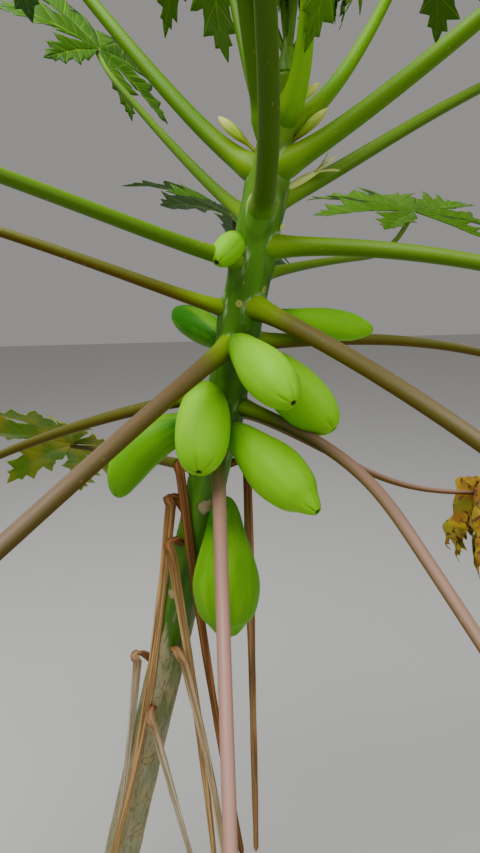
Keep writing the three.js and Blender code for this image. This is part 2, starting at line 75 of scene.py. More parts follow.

# Living leaves from the lowest to the highest: height on the trunk, heading and rise of the stalk,
# how much flatter it starts, the change of rise and of heading along it, its length and
# stoutness, how swollen its base is, the middle lobe's length, the blade's nod, roll, turn away
# from its stalk and droop, the size and start of a bend before the blade, how far the stalk has
# gone from green to mauve, and how much lighter and fresher a green it has: partly its own young
# green, partly painted light on stalks seen from their shaded side.
LEAF_FIELDS = "z heading rise sag turn veer length stout swell blade nod roll swing droop".split()
LEAF_FIELDS += "knee knee_start blush fresh".split()
LEAF_ROWS = [
    (1.160, 132, -4, 0, -4, 0, 0.430, 0.85, 1, 0.219, -17, 43, 43, 0.20, 0, 0.8, 0.6, 0.0),
    (1.208, -88, -20, 0, -26, 0, 0.800, 0.88, 1, 0.250, 74, 0, 0, 0.30, 0, 0.8, 1.0, 0.0),
    (1.279, 161, -11, -2, -20, 0, 0.720, 0.95, 1, 0.250, 54, 0, 0, 0.30, 0, 0.8, 0.45, 0.0),
    (1.268, -29, -15, 0, -5, -49, 0.800, 0.85, 1, 0.250, 46, 0, 0, 0.30, 0, 0.8, 0.93, 0.0),
    (1.308, 89, 19, 0, 10, 0, 0.580, 0.75, 1, 0.258, -22, 25, 41, 0.15, 0, 0.8, 0.4, 0.0),
    (1.352, -117, -15, -4, -3, 0, 0.790, 1.10, 1, 0.255, 42, 0, 0, 0.30, 0, 0.8, 0.85, 0.0),
    (1.353, 24, 4, 12, -30, 0, 0.740, 0.95, 1, 0.245, 48, 0, 0, 0.30, 0, 0.8, 0.45, 0.0),
    (1.404, -53, -14, 0, -18, 0, 0.740, 1.10, 1, 0.255, 56, 0, 0, 0.30, 0, 0.8, 0.66, 0.0),
    (1.390, -173, 25, 12, -12, 0, 0.700, 0.80, 1, 0.245, 26, 0, 0, 0.30, 0, 0.8, 0.4, 0.0),
    (1.435, 54, 8, 2, -9, -7, 0.482, 0.75, 1, 0.240, -19, 6, 50, 0.05, 44, 0.59, 0.3, 0.2),
    (1.457, -137, 18, 16, -5, 0, 0.730, 0.92, 1, 0.250, 24, 0, 0, 0.30, 0, 0.8, 0.15, 0.1),
    (1.473, -22, 1, 0, -32, 0, 0.700, 1.10, 1, 0.250, 54, 0, 0, 0.30, 0, 0.8, 0.25, 0.3),
    (1.505, 119, 29, 14, 4, 0, 0.690, 0.85, 1, 0.250, -40, 38, -22, 0.22, 10, 0.8, 0.1, 0.1),
    (1.513, -86, 34, 20, 6, -9, 0.640, 1.20, 0.7, 0.240, 22, 0, 0, 0.30, 0, 0.8, 0.1, 0.0),
    (1.527, 25, 32, 22, -14, 0, 0.680, 1.00, 1, 0.245, 22, 0, 0, 0.30, 0, 0.8, 0.2, 0.15),
    (1.560, 151, 46, 26, 4, 0, 0.600, 1.15, 1, 0.240, 24, 0, 0, 0.30, 0, 0.8, 0.0, 0.15),
    (1.563, -16, 32, 14, 8, 0, 0.620, 1.20, 1, 0.240, 22, 0, 0, 0.30, 0, 0.8, 0.1, 0.3),
    (1.599, -125, 78, 26, 0, 0, 0.470, 1.25, 1, 0.215, 30, 0, 0, 0.45, 0, 0.8, 0.0, 0.0),
    (1.606, 110, 60, 26, 6, 0, 0.372, 1.10, 1, 0.175, 32, -15, -6, 0.57, 0, 0.8, 0.0, 0.0),
    (1.615, 42, 42, 36, 16, 0, 0.405, 1.10, 1, 0.215, 20, 8, -34, 0.30, 0, 0.8, 0.0, 0.6),
    (1.618, -60, 60, 44, 30, -20, 0.240, 1.10, 1, 0.150, 68, 0, 35, 0.35, 0, 0.8, 0.0, 1.0),
]
LEAVES = [dict(zip(LEAF_FIELDS, row)) for row in LEAF_ROWS]
WITHERED_ROW = (1.254, 50, -32, -24, 0, -32, 0.545, 0.8, 1, 0.2, 0, 0, 0, 0, 23, 0.45, 1.0, 0.0)
WITHERED_LEAF = dict(zip(LEAF_FIELDS, WITHERED_ROW))
STALK_RADIUS = (0.011, 0.0052)
STALK_SAG_LENGTH = 0.060


def smooth(value, low, high):
    share = np.clip((value - low) / (high - low), 0, 1)
    return share * share * (3 - 2 * share)


def direction(heading, rise):
    """Unit vectors for headings round +Z from +X and rises above the horizontal, in degrees."""
    turn, climb = np.broadcast_arrays(np.radians(heading), np.radians(rise))
    return np.stack([np.cos(turn) * np.cos(climb), np.sin(turn) * np.cos(climb), np.sin(climb)], -1)


def walk(start, length, shares, heading_at, rise_at):
    """A limb's track: at each share of its length, its place, the way it points, and a side
    direction that starts level and is carried along without twist."""
    fine = np.linspace(0, 1, 193)
    middles = (fine[1:] + fine[:-1]) / 2
    steps = direction(heading_at(middles), rise_at(middles)) * length / len(middles)
    trail = np.vstack([start, start + np.cumsum(steps, axis=0)])
    place = np.stack([np.interp(shares, fine, trail[:, axis]) for axis in range(3)], -1)
    along = direction(heading_at(shares), rise_at(shares))
    side = np.empty_like(along)
    carried = direction(heading_at(shares[:1]) + 90, 0)[0]
    for i, ahead in enumerate(along):
        carried = carried - ahead * (carried @ ahead)
        carried = carried / np.linalg.norm(carried)
        side[i] = carried
    return place, along, side


def trunk_centre(z):
    upturn = UPTURN["size"] * smooth(z, UPTURN["start"], TRUNK_HEIGHT)
    return np.stack([TRUNK_LEAN[0] * z - upturn, TRUNK_LEAN[1] * z, z + 0 * upturn], -1)


def trunk_radius(z):
    taper = TRUNK_TAPER["size"] * np.clip(1 - z / TRUNK_TAPER["up_to"], 0, 1)
    flare = ROOT_FLARE["size"] * np.exp(-z / ROOT_FLARE["height"])
    tip = TIP_TAPER["size"] * smooth(z, TIP_TAPER["start"], TRUNK_HEIGHT)
    return STEM_RADIUS + taper + flare - tip


def leaf_walk(leaf, shares):
    def rise_at(share):
        sag = leaf["sag"] * np.exp(-share * leaf["length"] / STALK_SAG_LENGTH)
        knee = leaf["knee"] * smooth(share, leaf["knee_start"], 1)
        return leaf["rise"] + leaf["turn"] * share + knee - sag

    def heading_at(share):
        return leaf["heading"] + leaf["veer"] * smooth(share, 0, 0.45)

    return walk(trunk_centre(leaf["z"]), leaf["length"], shares, heading_at, rise_at)


def seat_of(leaf):
    """Height and heading at which a leaf stalk comes out of the trunk."""
    shares = np.linspace(0, 0.3, 60)
    place = leaf_walk(leaf, shares)[0]
    away = place - trunk_centre(place[:, 2])
    first = int(np.argmax(np.hypot(away[:, 0], away[:, 1]) > trunk_radius(leaf["z"])))
    return place[first, 2], np.degrees(np.arctan2(away[first, 1], away[first, 0]))


def angles_round(sides):
    """Angles evenly round a limb, in one row."""
    return (np.arange(sides) * 2 * np.pi / sides)[None, :]


def turn_between(first, second):
    """How far the first heading lies from the second, in degrees, signed."""
    return (first - second + 180) % 360 - 180


def arc_from(angle, heading, radius):
    """Distance round the trunk from a heading, in metres, signed."""
    return np.radians(turn_between(np.degrees(angle), heading)) * radius


def roll_up(name, place, along, side, radius):
    """Rolls a flat grid into a closed limb. Place, along and side hold one row for each ring, and
    radius one row for each ring with a value for each column. The seam is merged, the ends are
    drawn in to a point, and the attribute grain keeps where each vertex lay on the straight limb."""
    rings, columns = radius.shape
    bpy.ops.mesh.primitive_grid_add(x_subdivisions=columns, y_subdivisions=rings + 1, size=1)
    limb = bpy.context.object
    limb.name = name
    row, column = np.divmod(np.arange(len(limb.data.vertices)), columns + 1)
    ring = np.clip(row - 1, 0, rings - 1)
    open_ring = (row > 0) & (row <= rings)
    reach = radius[ring, column % columns] * open_ring
    angle = column * 2 * np.pi / columns
    top = np.cross(along, side)
    outward = np.cos(angle)[:, None] * side[ring] + np.sin(angle)[:, None] * top[ring]
    limb.data.vertices.foreach_set("co", (place[ring] + outward * reach[:, None]).ravel())
    distance = np.concatenate([[0], np.cumsum(np.linalg.norm(np.diff(place, axis=0), axis=1))])
    grain = np.stack([np.cos(angle) * reach, np.sin(angle) * reach, distance[ring]], -1)
    limb.data.attributes.new("grain", "FLOAT_VECTOR", "POINT").data.foreach_set("vector", grain.ravel())
    bpy.ops.object.mode_set(mode="EDIT")
    bpy.ops.mesh.select_all(action="SELECT")
    bpy.ops.mesh.remove_doubles(threshold=1e-6)
    bpy.ops.object.mode_set(mode="OBJECT")
    bpy.ops.object.shade_smooth()
    return limb


def keep(piece, **measures):
    """Numbers kept under their names at each vertex, for the material to read."""
    for name, values in measures.items():
        attribute = piece.data.attributes.new(name, "FLOAT", "POINT")
        attribute.data.foreach_set("value", np.asarray(values, float))


def kept(piece, name):
    """What the mesh keeps under a name at each vertex: a number, or three for a place."""
    attribute = piece.data.attributes[name]
    kind, width = ("value", 1) if attribute.data_type == "FLOAT" else ("vector", 3)
    values = np.empty(len(attribute.data) * width)
    attribute.data.foreach_get(kind, values)
    return values if width == 1 else values.reshape(-1, 3)


def add_node(tree, kind, inputs=(), **settings):
    """A shader node with its settings, each given input joined to a socket or set to a value."""
    node = tree.nodes.new("ShaderNode" + kind)
    for name, value in settings.items():
        setattr(node, name, value)
    for name, value in dict(inputs).items():
        if isinstance(value, bpy.types.NodeSocket):
            tree.links.new(value, node.inputs[name])
        else:
            node.inputs[name].default_value = value
    return node


def mix(tree, share, first, second):
    """The colour between two, by a share."""
    return add_node(tree, "Mix", {0: share, 6: first, 7: second}, data_type="RGBA").outputs[2]


def calculate(tree, operation, first, second=0.0):
    return add_node(tree, "Math", {0: first, 1: second}, operation=operation).outputs[0]


def tint(tree, tone, share, strength, colour):
    """A tone with another colour laid over a share of it, at most at the given strength."""
    return mix(tree, calculate(tree, "MULTIPLY", share, strength), tone, colour)


def fade(tree, value, low, high, start=0.0, end=1.0):
    """A smooth change from start to end while the value goes from low to high."""
    inputs = {"Value": value, "From Min": low, "From Max": high, "To Min": start, "To Max": end}
    return add_node(tree, "MapRange", inputs, interpolation_type="SMOOTHSTEP").outputs["Result"]


def measure(tree, name):
    return add_node(tree, "Attribute", attribute_name=name).outputs["Fac"]


def place_in(tree):
    return add_node(tree, "TexCoord").outputs["Object"]


def cloud_in(tree, place, scale, detail):
    inputs = {"Vector": place, "Scale": scale, "Detail": detail}
    return add_node(tree, "TexNoise", inputs).outputs["Fac"]


def new_skin(name, roughness, shine=0.5):
    """A material with a plain shader, its node tree and that shader."""
    skin = bpy.data.materials.new(name)
    skin.use_nodes = True
    shader = skin.node_tree.nodes["Principled BSDF"]
    shader.inputs["Roughness"].default_value = roughness
    shader.inputs["Specular IOR Level"].default_value = shine
    return skin, skin.node_tree, shader


def join(tree, socket, shader, name):
    tree.links.new(socket, shader.inputs[name])


def relief(tree, shader, height, depth, strength=1.0):
    inputs = {"Height": height, "Distance": depth, "Strength": strength}
    join(tree, add_node(tree, "Bump", inputs).outputs["Normal"], shader, "Normal")


def hand_over(piece, skin, slot, *nodes):
    """Gives a finished piece its material and sets it in the frame in place of its solids."""
    piece.data.materials.clear()
    piece.data.materials.append(skin)
    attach(piece, "root")
    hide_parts(*nodes)


def new_group(name, inputs, output):
    """A shader node group with the named inputs and one named output."""
    group = bpy.data.node_groups.new(name, "ShaderNodeTree")
    for label in inputs.split():
        group.interface.new_socket(label, in_out="INPUT", socket_type="NodeSocketFloat")
    group.interface.new_socket(output, in_out="OUTPUT", socket_type="NodeSocketFloat")
    return group, group.nodes.new("NodeGroupInput").outputs, group.nodes.new("NodeGroupOutput").inputs


def laid_on_grain(tree, across, along):
    """The place on a limb's grain, scaled across and along it."""
    scale = add_node(tree, "CombineXYZ", {"X": across, "Y": across, "Z": along}).outputs[0]
    grain = add_node(tree, "Attribute", attribute_name="grain").outputs["Vector"]
    return add_node(tree, "VectorMath", {0: grain, 1: scale}, operation="MULTIPLY").outputs[0]


# Streaks and specks that follow a limb, however it bends, because they are laid out on its grain.
fibre, given, wanted = new_group("Fibre", "Across Along Low High", "Streaks")
cloud = cloud_in(fibre, laid_on_grain(fibre, given["Across"], given["Along"]), 1.0, 4.0)
fibre.links.new(fade(fibre, cloud, given["Low"], given["High"]), wanted["Streaks"])

speck, given, wanted = new_group("Specks", "Spacing Stretch Size", "Specks")
spacing_along = calculate(speck, "MULTIPLY", given["Spacing"], given["Stretch"])
laid = laid_on_grain(speck, given["Spacing"], spacing_along)
cells = add_node(speck, "TexVoronoi", {"Vector": laid, "Scale": 1.0})
chance = add_node(speck, "SeparateColor", {"Color": cells.outputs["Color"]}).outputs["Red"]
size = calculate(speck, "MULTIPLY", given["Size"], fade(speck, chance, 0.92, 1.0))
closeness = calculate(speck, "SUBTRACT", size, cells.outputs["Distance"])
speck.links.new(fade(speck, closeness, 0.0, 0.06), wanted["Specks"])


def streaks_in(tree, across, along, low=0.4, high=0.6):
    inputs = {"Across": across, "Along": along, "Low": low, "High": high}
    return add_node(tree, "Group", inputs, node_tree=fibre).outputs["Streaks"]


def specks_in(tree, spacing, stretch, size):
    inputs = {"Spacing": spacing, "Stretch": stretch, "Size": size}
    return add_node(tree, "Group", inputs, node_tree=speck).outputs["Specks"]


height = np.linspace(0, 1, TRUNK_RINGS) * TRUNK_HEIGHT
z = height[:, None]
angle = angles_round(TRUNK_SIDES)
stem_radius = trunk_radius(z) + 0 * angle
flutes = FLUTES["size"] * np.exp(-z / FLUTES["height"]) * np.cos(FLUTES["count"] * angle + 0.7)
trunk_skin = stem_radius + flutes + 0.0008 * np.sin(3 * angle + 9 * z)
scar_face = np.zeros_like(trunk_skin)
scar_rim = np.zeros_like(trunk_skin)
spiral = np.arange(SCAR["highest"], SCAR["lowest"], -SCAR["step"])
scars = list(PLAIN_SCARS)
for n, at in enumerate(spiral):
    heading = SCAR["first"] + n * SCAR["turn"]
    aside = abs(turn_between(heading, SEEN_SIDE["heading"]))
    if aside >= SEEN_SIDE["span"] or at <= SEEN_SIDE["lowest"]:
        scars.append((at, heading))
for n, (at, heading) in enumerate(scars):
    size = 1.25 if n == 0 else 0.8 + 0.3 * np.sin(5.1 * n) ** 2
    aside = arc_from(angle, heading, stem_radius) / (SCAR_SIZE[0] * size)
    above = (z - at) / (SCAR_SIZE[1] * size)
    shield = np.sqrt(aside**2 + (above + 0.18 * aside**2 * np.sign(above)) ** 2)
    shield = shield * (1 + 0.07 * np.sin(4 * np.arctan2(above, aside) + 3 * n))
    face = smooth(-shield, -1.0, -0.84)
    rim = np.exp(-(((shield - 1.05) / 0.11) ** 2))
    cushion = np.exp(-((aside / 1.6) ** 2) - np.where(above < 0, above / 3.4, above / 1.2) ** 2)
    line = np.exp(-(((z - at - 0.003) / 0.0022) ** 2))
    trunk_skin += SCAR_RELIEF["cushion"] * cushion + SCAR_RELIEF["rim"] * rim
    trunk_skin += SCAR_RELIEF["line"] * line - SCAR_RELIEF["face"] * face
    scar_face = np.maximum(scar_face, face * (1 if n < len(PLAIN_SCARS) else 0.7))
    scar_rim = np.maximum(scar_rim, rim * (1 - face))
base_wax = np.zeros_like(trunk_skin)
base_shadow = np.zeros_like(trunk_skin)
for leaf in LEAVES + [WITHERED_LEAF]:
    seat, heading = seat_of(leaf)
    aside = arc_from(angle, heading, stem_radius)
    above = z - seat
    wide = LEAF_CUSHION["wide"] + LEAF_CUSHION["wider"] * leaf["stout"]
    tall = np.where(above < 0, LEAF_CUSHION["below"], LEAF_CUSHION["above"])
    reach = np.hypot(aside / wide, above / tall)
    cushion = 0.4 * smooth(-reach, -1.2, -0.4) + 0.6 * np.exp(-((reach / 0.9) ** 2))
    trunk_skin += LEAF_CUSHION["size"] * cushion * min(1, leaf["stout"]) * leaf["swell"]
    edge = np.exp(-(((reach - 1.0) / 0.13) ** 2))
    base_wax = np.maximum(base_wax, edge * smooth(above, -0.030, 0.004))
    # Painted shadow: a dark band on the trunk just below each stalk's base, kept as crease.
    base_shadow = np.maximum(base_shadow, edge * smooth(-above, 0.012, 0.030))
upright = np.tile([0.0, 0.0, 1.0], (TRUNK_RINGS, 1))
level = np.tile([1.0, 0.0, 0.0], (TRUNK_RINGS, 1))
trunk = roll_up("trunk_bark", trunk_centre(height), upright, level, trunk_skin)
places = kept(trunk, "position")
row = np.rint(places[:, 2] / TRUNK_HEIGHT * (TRUNK_RINGS - 1)).astype(int)
away = places - trunk_centre(places[:, 2])
column = np.rint(np.arctan2(away[:, 1], away[:, 0]) / (2 * np.pi) * TRUNK_SIDES).astype(int) % TRUNK_SIDES
keep(trunk, scar=scar_face[row, column], rim=scar_rim[row, column])
keep(trunk, wax=base_wax[row, column], crease=base_shadow[row, column])

bark, tree, shader = new_skin("Papaya bark", 0.7, 0.35)
bark_place = place_in(tree)
up_the_stem = add_node(tree, "SeparateXYZ", {0: bark_place}).outputs["Z"]
creeping = calculate(tree, "MULTIPLY", streaks_in(tree, 55, 14, 0.35, 0.65), 0.13)
youth = fade(tree, calculate(tree, "ADD", up_the_stem, creeping), 0.86, 0.99)
cork = mix(tree, streaks_in(tree, 60, 16, 0.40, 0.64), CORK_TAN, CORK_GREY)
green_patch = fade(tree, up_the_stem, 0.55, 1.0, 0.25, 1.0)
green_patch = calculate(tree, "MULTIPLY", streaks_in(tree, 60, 13, 0.46, 0.62), green_patch)
cork = mix(tree, green_patch, cork, CORK_GREEN)
cork = tint(tree, cork, streaks_in(tree, 420, 60, 0.54, 0.64), 0.5, CORK_BROWN)
green = mix(tree, streaks_in(tree, 44, 5, 0.36, 0.70), FRESH_GREEN, PALE_GREEN)
green = mix(tree, fade(tree, up_the_stem, 1.50, 1.62), green, TIP_GREEN)
colour = mix(tree, youth, cork, green)
colour = tint(tree, colour, specks_in(tree, 190, 0.5, 0.40), 0.4, SCAR_TAN)
waxy = calculate(tree, "MULTIPLY", measure(tree, "wax"), streaks_in(tree, 260, 60, 0.38, 0.62))
colour = tint(tree, colour, waxy, 0.75, WAX)
# Painted shadow under each stalk's base.
colour = tint(tree, colour, measure(tree, "crease"), 0.3, UNDER_BASE_SHADE)
colour = tint(tree, colour, measure(tree, "rim"), 0.85, CORK_BROWN)
scarred = mix(tree, streaks_in(tree, 260, 160, 0.40, 0.62), SCAR_TAN, CORK_GREY)
colour = mix(tree, measure(tree, "scar"), colour, scarred)
for at, heading in SMALL_SCARS:
    centre = trunk_centre(np.array([at]))[0] + trunk_radius(at) * direction(heading, 0)
    off = add_node(tree, "VectorMath", {0: bark_place, 1: tuple(centre)}, operation="DISTANCE").outputs[1]
    colour = mix(tree, fade(tree, off, 0.0040, 0.0052, 0.75, 0.0), colour, SMALL_SCAR_TAN)
    colour = mix(tree, fade(tree, off, 0.0010, 0.0026, 0.55, 0.0), colour, CORK_GREEN)
join(tree, colour, shader, "Base Color")
join(tree, fade(tree, youth, 0, 1, 0.8, 0.5), shader, "Roughness")
relief(tree, shader, streaks_in(tree, 300, 40, 0.3, 0.7), 0.0006, 0.5)
hand_over(trunk, bark, "bark", "trunk")


# Leaf stalks
# Round, hollow and waxy, swollen where they clasp the trunk. Young ones are green; with age the
# upper side turns mauve-brown from the blade down, and the base stays yellow-green.
STALK_SIDES = 22
STALK_RINGS = 64
STALK_GREEN = (0.098, 0.245, 0.0, 1)
# The darker colours for the stalks' undersides are painted shade, partly their own browner tone.
SHADED_STALK_GREEN = (0.050, 0.125, 0.0, 1)
STALK_FRESH_AND_LIT = (0.185, 0.46, 0.0, 1)
SHADED_STALK_BROWN = (0.105, 0.066, 0.0, 1)
STALK_BASE = (0.19, 0.34, 0.0, 1)
STALK_MAUVE = (0.130, 0.070, 0.038, 1)
STALK_PINK = (0.49, 0.26, 0.21, 1)
SHADED_MAUVE_UNDERSIDE = (0.085, 0.043, 0.004, 1)
SHADED_PINK_UNDERSIDE = (0.22, 0.095, 0.020, 1)
# A pale colour for the stalks' upper sides: partly a waxy bloom, partly a painted sky sheen.
STALK_BLOOM_AND_SHEEN = (0.54, 0.40, 0.31, 1)
STALK_OLIVE = (0.088, 0.128, 0.0, 1)
SPECK_TAN = (0.42, 0.36, 0.14, 1)
STALKS_GREEN_FROM = 1.42
BASE_SWELLINGS = ((0.42, 0.032), (0.12, 0.008))


def stalk_radius(leaf, share):
    from_trunk = np.maximum(0, share * leaf["length"] - STEM_RADIUS)
    swell = 1 + sum(size * np.exp(-from_trunk / reach) for size, reach in BASE_SWELLINGS) * leaf["swell"]
    return (STALK_RADIUS[0] + (STALK_RADIUS[1] - STALK_RADIUS[0]) * share) * swell * leaf["stout"]


def grow_stalk(name, leaf):
    shares = np.linspace(0, 1, STALK_RINGS) ** 1.35
    track = leaf_walk(leaf, shares)
    angle = angles_round(STALK_SIDES)
    uneven = 0.012 * np.cos(3 * angle + 7 * shares[:, None]) - 0.05 * np.sin(angle) ** 2
    radius = stalk_radius(leaf, shares)[:, None] * (1 + uneven)
    stalk = roll_up(name, *track, radius)
    grain = kept(stalk, "grain")
    topness = grain[:, 1] / np.maximum(np.hypot(grain[:, 0], grain[:, 1]), 1e-6)
    outward = smooth(grain[:, 2], 0.035, 0.13)
    keep(stalk, blush=leaf["blush"] * outward * (0.72 + 0.28 * topness))
    keep(stalk, base=(1 - smooth(grain[:, 2], 0.035, 0.12)) * smooth(topness, -0.9, 0.3))
    # Painted shade: under grows where the stalk faces down, and there it is coloured darker.
    keep(stalk, under=(0.5 - 0.5 * topness) * smooth(grain[:, 2], 0.01, 0.07))
    # Painted highlight: the upper side of the outer stalk turns paler, partly a real waxy bloom.
    bloom = smooth(topness, 0.3, 1.0) * smooth(grain[:, 2], 0.1, 0.5) * smooth(leaf["blush"], 0.0, 0.45)
    keep(stalk, bloom=bloom * (1 - 0.8 * smooth(leaf["blush"], 0.9, 1.0)))
    pink = smooth(leaf["blush"], 0.85, 1.0) * (0.6 + 0.4 * smooth(grain[:, 2], 0.10, 0.42))
    keep(stalk, pink=pink + 0 * topness)
    # Partly painted light: a lighter, fresher green laid over the stalk, over its shaded underside too.
    keep(stalk, fresh=leaf["fresh"] * smooth(grain[:, 2], 0.01, 0.05))
    return stalk


def stalk_skin(name, green, deep, shine):
    skin, tree, shader = new_skin(name, 0.46, shine)
    under = measure(tree, "under")
    # Painted shade: towards the underside the stalk takes the deep colour, a darker copy of its green.
    tone = mix(tree, fade(tree, under, 0.25, 0.85), green, deep)
    # The fresh colour is partly the young stalks' own green, partly painted light on their shaded side.
    tone = mix(tree, measure(tree, "fresh"), tone, STALK_FRESH_AND_LIT)
    tone = tint(tree, tone, measure(tree, "base"), 0.8, STALK_BASE)
    aged = mix(tree, measure(tree, "pink"), STALK_MAUVE, STALK_PINK)
    # Painted shade: on their undersides aged stalks take darker, browner shaded colours.
    shaded = mix(tree, measure(tree, "pink"), SHADED_MAUVE_UNDERSIDE, SHADED_PINK_UNDERSIDE)
    aged = mix(tree, fade(tree, under, 0.3, 0.8), aged, shaded)
    tone = mix(tree, measure(tree, "blush"), tone, aged)
    # Pale streaks on the upper side: partly a waxy bloom, partly a painted highlight.
    bloom_and_sheen_streaks = calculate(tree, "MULTIPLY", measure(tree, "bloom"), streaks_in(tree, 90, 5, 0.2, 0.6))
    tone = tint(tree, tone, bloom_and_sheen_streaks, 0.32, STALK_BLOOM_AND_SHEEN)
    tone = tint(tree, tone, specks_in(tree, 330, 0.4, 0.36), 0.28, SPECK_TAN)
    tone = tint(tree, tone, streaks_in(tree, 240, 6, 0.5, 0.72), 0.2, deep)
    join(tree, tone, shader, "Base Color")
    join(tree, fade(tree, measure(tree, "blush"), 0.5, 0.95, 0.0, 0.4), shader, "Coat Weight")
    shader.inputs["Coat Roughness"].default_value = 0.32
    return skin


green_stalk = stalk_skin("Green stalk", STALK_GREEN, SHADED_STALK_GREEN, 0.2)
ageing_stalk = stalk_skin("Ageing stalk", STALK_OLIVE, SHADED_STALK_BROWN, 0.08)
for number, leaf in enumerate(LEAVES, 1):
    stalk = grow_stalk(f"stalk_{number:02d}", leaf)
    skin, slot = (ageing_stalk, "ageing_stalk")
    if leaf["z"] >= STALKS_GREEN_FROM:
        skin, slot = (green_stalk, "stalk")
    hand_over(stalk, skin, slot, f"leaf_stalk_{number:02d}")


# Leaf blades
# Seven lobes spread round the end of the stalk like fingers, each cut again into pointed lobes, with
# a rib down every finger and a vein out to every point. One flat blade is cut out, then copied
# and draped for each leaf.
LOBE_COUNT = 7
LOBE_SPREAD = 47
SHORTEST_LOBE = 0.6
SINUS = 0.45
CLEFT = 0.13
SINUS_VEIN = (0.28, -0.4)
GATHER = 0.05
BLADE_THICKNESS = 0.0008
SOLID_THICKNESS = 0.0046
SEAT_GAP = 0.00035
ACROSS = np.array([-1, -0.75, -0.5, -0.27, -0.08, 0, 0.08, 0.27, 0.5, 0.75, 1])
SECTOR_ROWS = 6
YELLOWING_LEAF = 1
# Leaf 10 takes the young blades' lighter colours as painted light, for light shining through it.
LIT_THROUGH_LEAF = 10
BLADES_YOUNG_ABOVE = 1.59
BLADE_TOP = (0.030, 0.100, 0.020, 1)
BLADE_UNDER = (0.036, 0.125, 0.0, 1)
BLADE_VEIN = (0.17, 0.32, 0.01, 1)
YOUNG_TOP = (0.060, 0.175, 0.004, 1)
YOUNG_UNDER = (0.065, 0.185, 0.0, 1)
YELLOWING_TOP = (0.10, 0.24, 0.0, 1)
YELLOWING_UNDER = (0.15, 0.30, 0.0, 1)
LEAF_YELLOW = (0.36, 0.34, 0.004, 1)
# Half of one lobe, as shares of its length: how far out a point of the edge lies, how far to the
# side, where its vein leaves the rib, and its count of veins, whole at a vein.
LOBE_EDGE = np.array(
    [
        (0.50, 0.150, 0.32, 0.0),
        (0.555, 0.196, 0.36, 0.6),
        (0.575, 0.190, 0.375, 0.7),
        (0.67, 0.262, 0.42, 1.0),
        (0.675, 0.190, 0.47, 1.3),
        (0.655, 0.132, 0.51, 1.5),
        (0.74, 0.140, 0.56, 1.8),
        (0.84, 0.188, 0.61, 2.0),
        (0.83, 0.120, 0.66, 2.3),
        (0.825, 0.078, 0.70, 2.5),
        (0.905, 0.100, 0.76, 3.0),
        (0.90, 0.052, 0.81, 3.4),
        (0.95, 0.030, 0.89, 3.7),
        (1.0, 0.0, 1.0, 4.0),
    ]
)


def select_only(pieces):
    """Selects the pieces and nothing else, the first of them active."""
    bpy.ops.object.select_all(action="DESELECT")
    for piece in pieces:
        piece.select_set(True)
    bpy.context.view_layer.objects.active = pieces[0]


def join_pieces(pieces):
    """Joins the pieces into the first of them."""
    select_only(pieces)
    bpy.ops.object.join()
    return pieces[0]


def cut_flat_blade():
    """The flat blade, its middle lobe 1 long and pointing along +X. Its UV map holds the count of
    veins and the place across the lobe."""
    half = LOBE_COUNT // 2
    lengths = [1 - (1 - SHORTEST_LOBE) * (abs(n) / half) ** 1.5 for n in range(-half, half + 1)]
    lobes = []
    for n in range(-half, half + 1):
        length = lengths[n + half]
        rows = []
        for side in (-1, 1):
            beside = n + side
            inner = SINUS * (length + lengths[beside + half]) / 2 if abs(beside) <= half else CLEFT
            turn = np.radians(LOBE_SPREAD / 2)
            vein, count = SINUS_VEIN
            corner = np.array([inner * np.cos(turn), inner * np.sin(turn), vein * length, count])
            sector = np.linspace([0, 0, 0, -1], corner, SECTOR_ROWS)
            edge = LOBE_EDGE * [length, length, length, 1]
            finer = np.empty((2 * len(edge), 4))
            finer[1::2] = edge
            finer[::2] = (edge + np.vstack([corner, edge[:-1]])) / 2
            rows.append(np.vstack([sector, finer]))
        low, high = rows
        steps = (len(ACROSS) - 1, len(low) - 1)
        bpy.ops.mesh.primitive_grid_add(x_subdivisions=steps[0], y_subdivisions=steps[1], size=1)
        lobe = bpy.context.object
        row, column = np.divmod(np.arange(len(lobe.data.vertices)), len(ACROSS))
        aside = ACROSS[column]
        edge = np.where((aside < 0)[:, None], low[row], high[row])
        rib = (low[row, 2] + high[row, 2]) / 2
        x = rib + (edge[:, 0] - rib) * np.abs(aside)
        y = -aside * edge[:, 1]
        turn = np.radians(n * LOBE_SPREAD)
        ahead = x * np.cos(turn) - y * np.sin(turn)
        beside = x * np.sin(turn) + y * np.cos(turn)
        flat = np.stack([ahead, beside, 0 * x], -1)
        lobe.data.vertices.foreach_set("co", flat.ravel())
        corners = np.empty(len(lobe.data.loops), int)
        lobe.data.loops.foreach_get("vertex_index", corners)
        uv = np.stack([(edge[:, 3] + 1) / 5, np.abs(aside)], -1)[corners]
        lobe.data.uv_layers[0].data.foreach_set("uv", uv.ravel())
        keep(lobe, rib=(aside == 0) * (1 - rib / length))
        keep(lobe, lobe=np.full(len(x), n + half))
        pillow = 4 * np.abs(aside) * (1 - np.abs(aside))
        keep(lobe, quilt=np.abs(np.sin(np.pi * edge[:, 3])) * pillow)
        lobes.append(lobe)
    blade = join_pieces(lobes)
    bpy.ops.object.mode_set(mode="EDIT")
    bpy.ops.mesh.select_all(action="SELECT")
    bpy.ops.mesh.remove_doubles(threshold=1e-5)
    bpy.ops.mesh.flip_normals()
    bpy.ops.object.mode_set(mode="OBJECT")
    return blade


def copy_blade(name):
    """A copy of the flat blade with its own mesh, active and alone selected."""
    blade = flat_blade.copy()
    blade.data = flat_blade.data.copy()
    blade.name = name
    bpy.context.collection.objects.link(blade)
    select_only([blade])
    return blade


def thicken(blade, thickness):
    """Turns the draped sheet into a closed blade, and marks its underside."""
    count = len(blade.data.vertices)
    solidify = blade.modifiers.new("Thickness", "SOLIDIFY")
    solidify.thickness = thickness
    solidify.offset = -1
    bpy.ops.object.modifier_apply(modifier=solidify.name)
    bpy.ops.object.shade_smooth()
    keep(blade, under=np.arange(len(blade.data.vertices)) >= count)


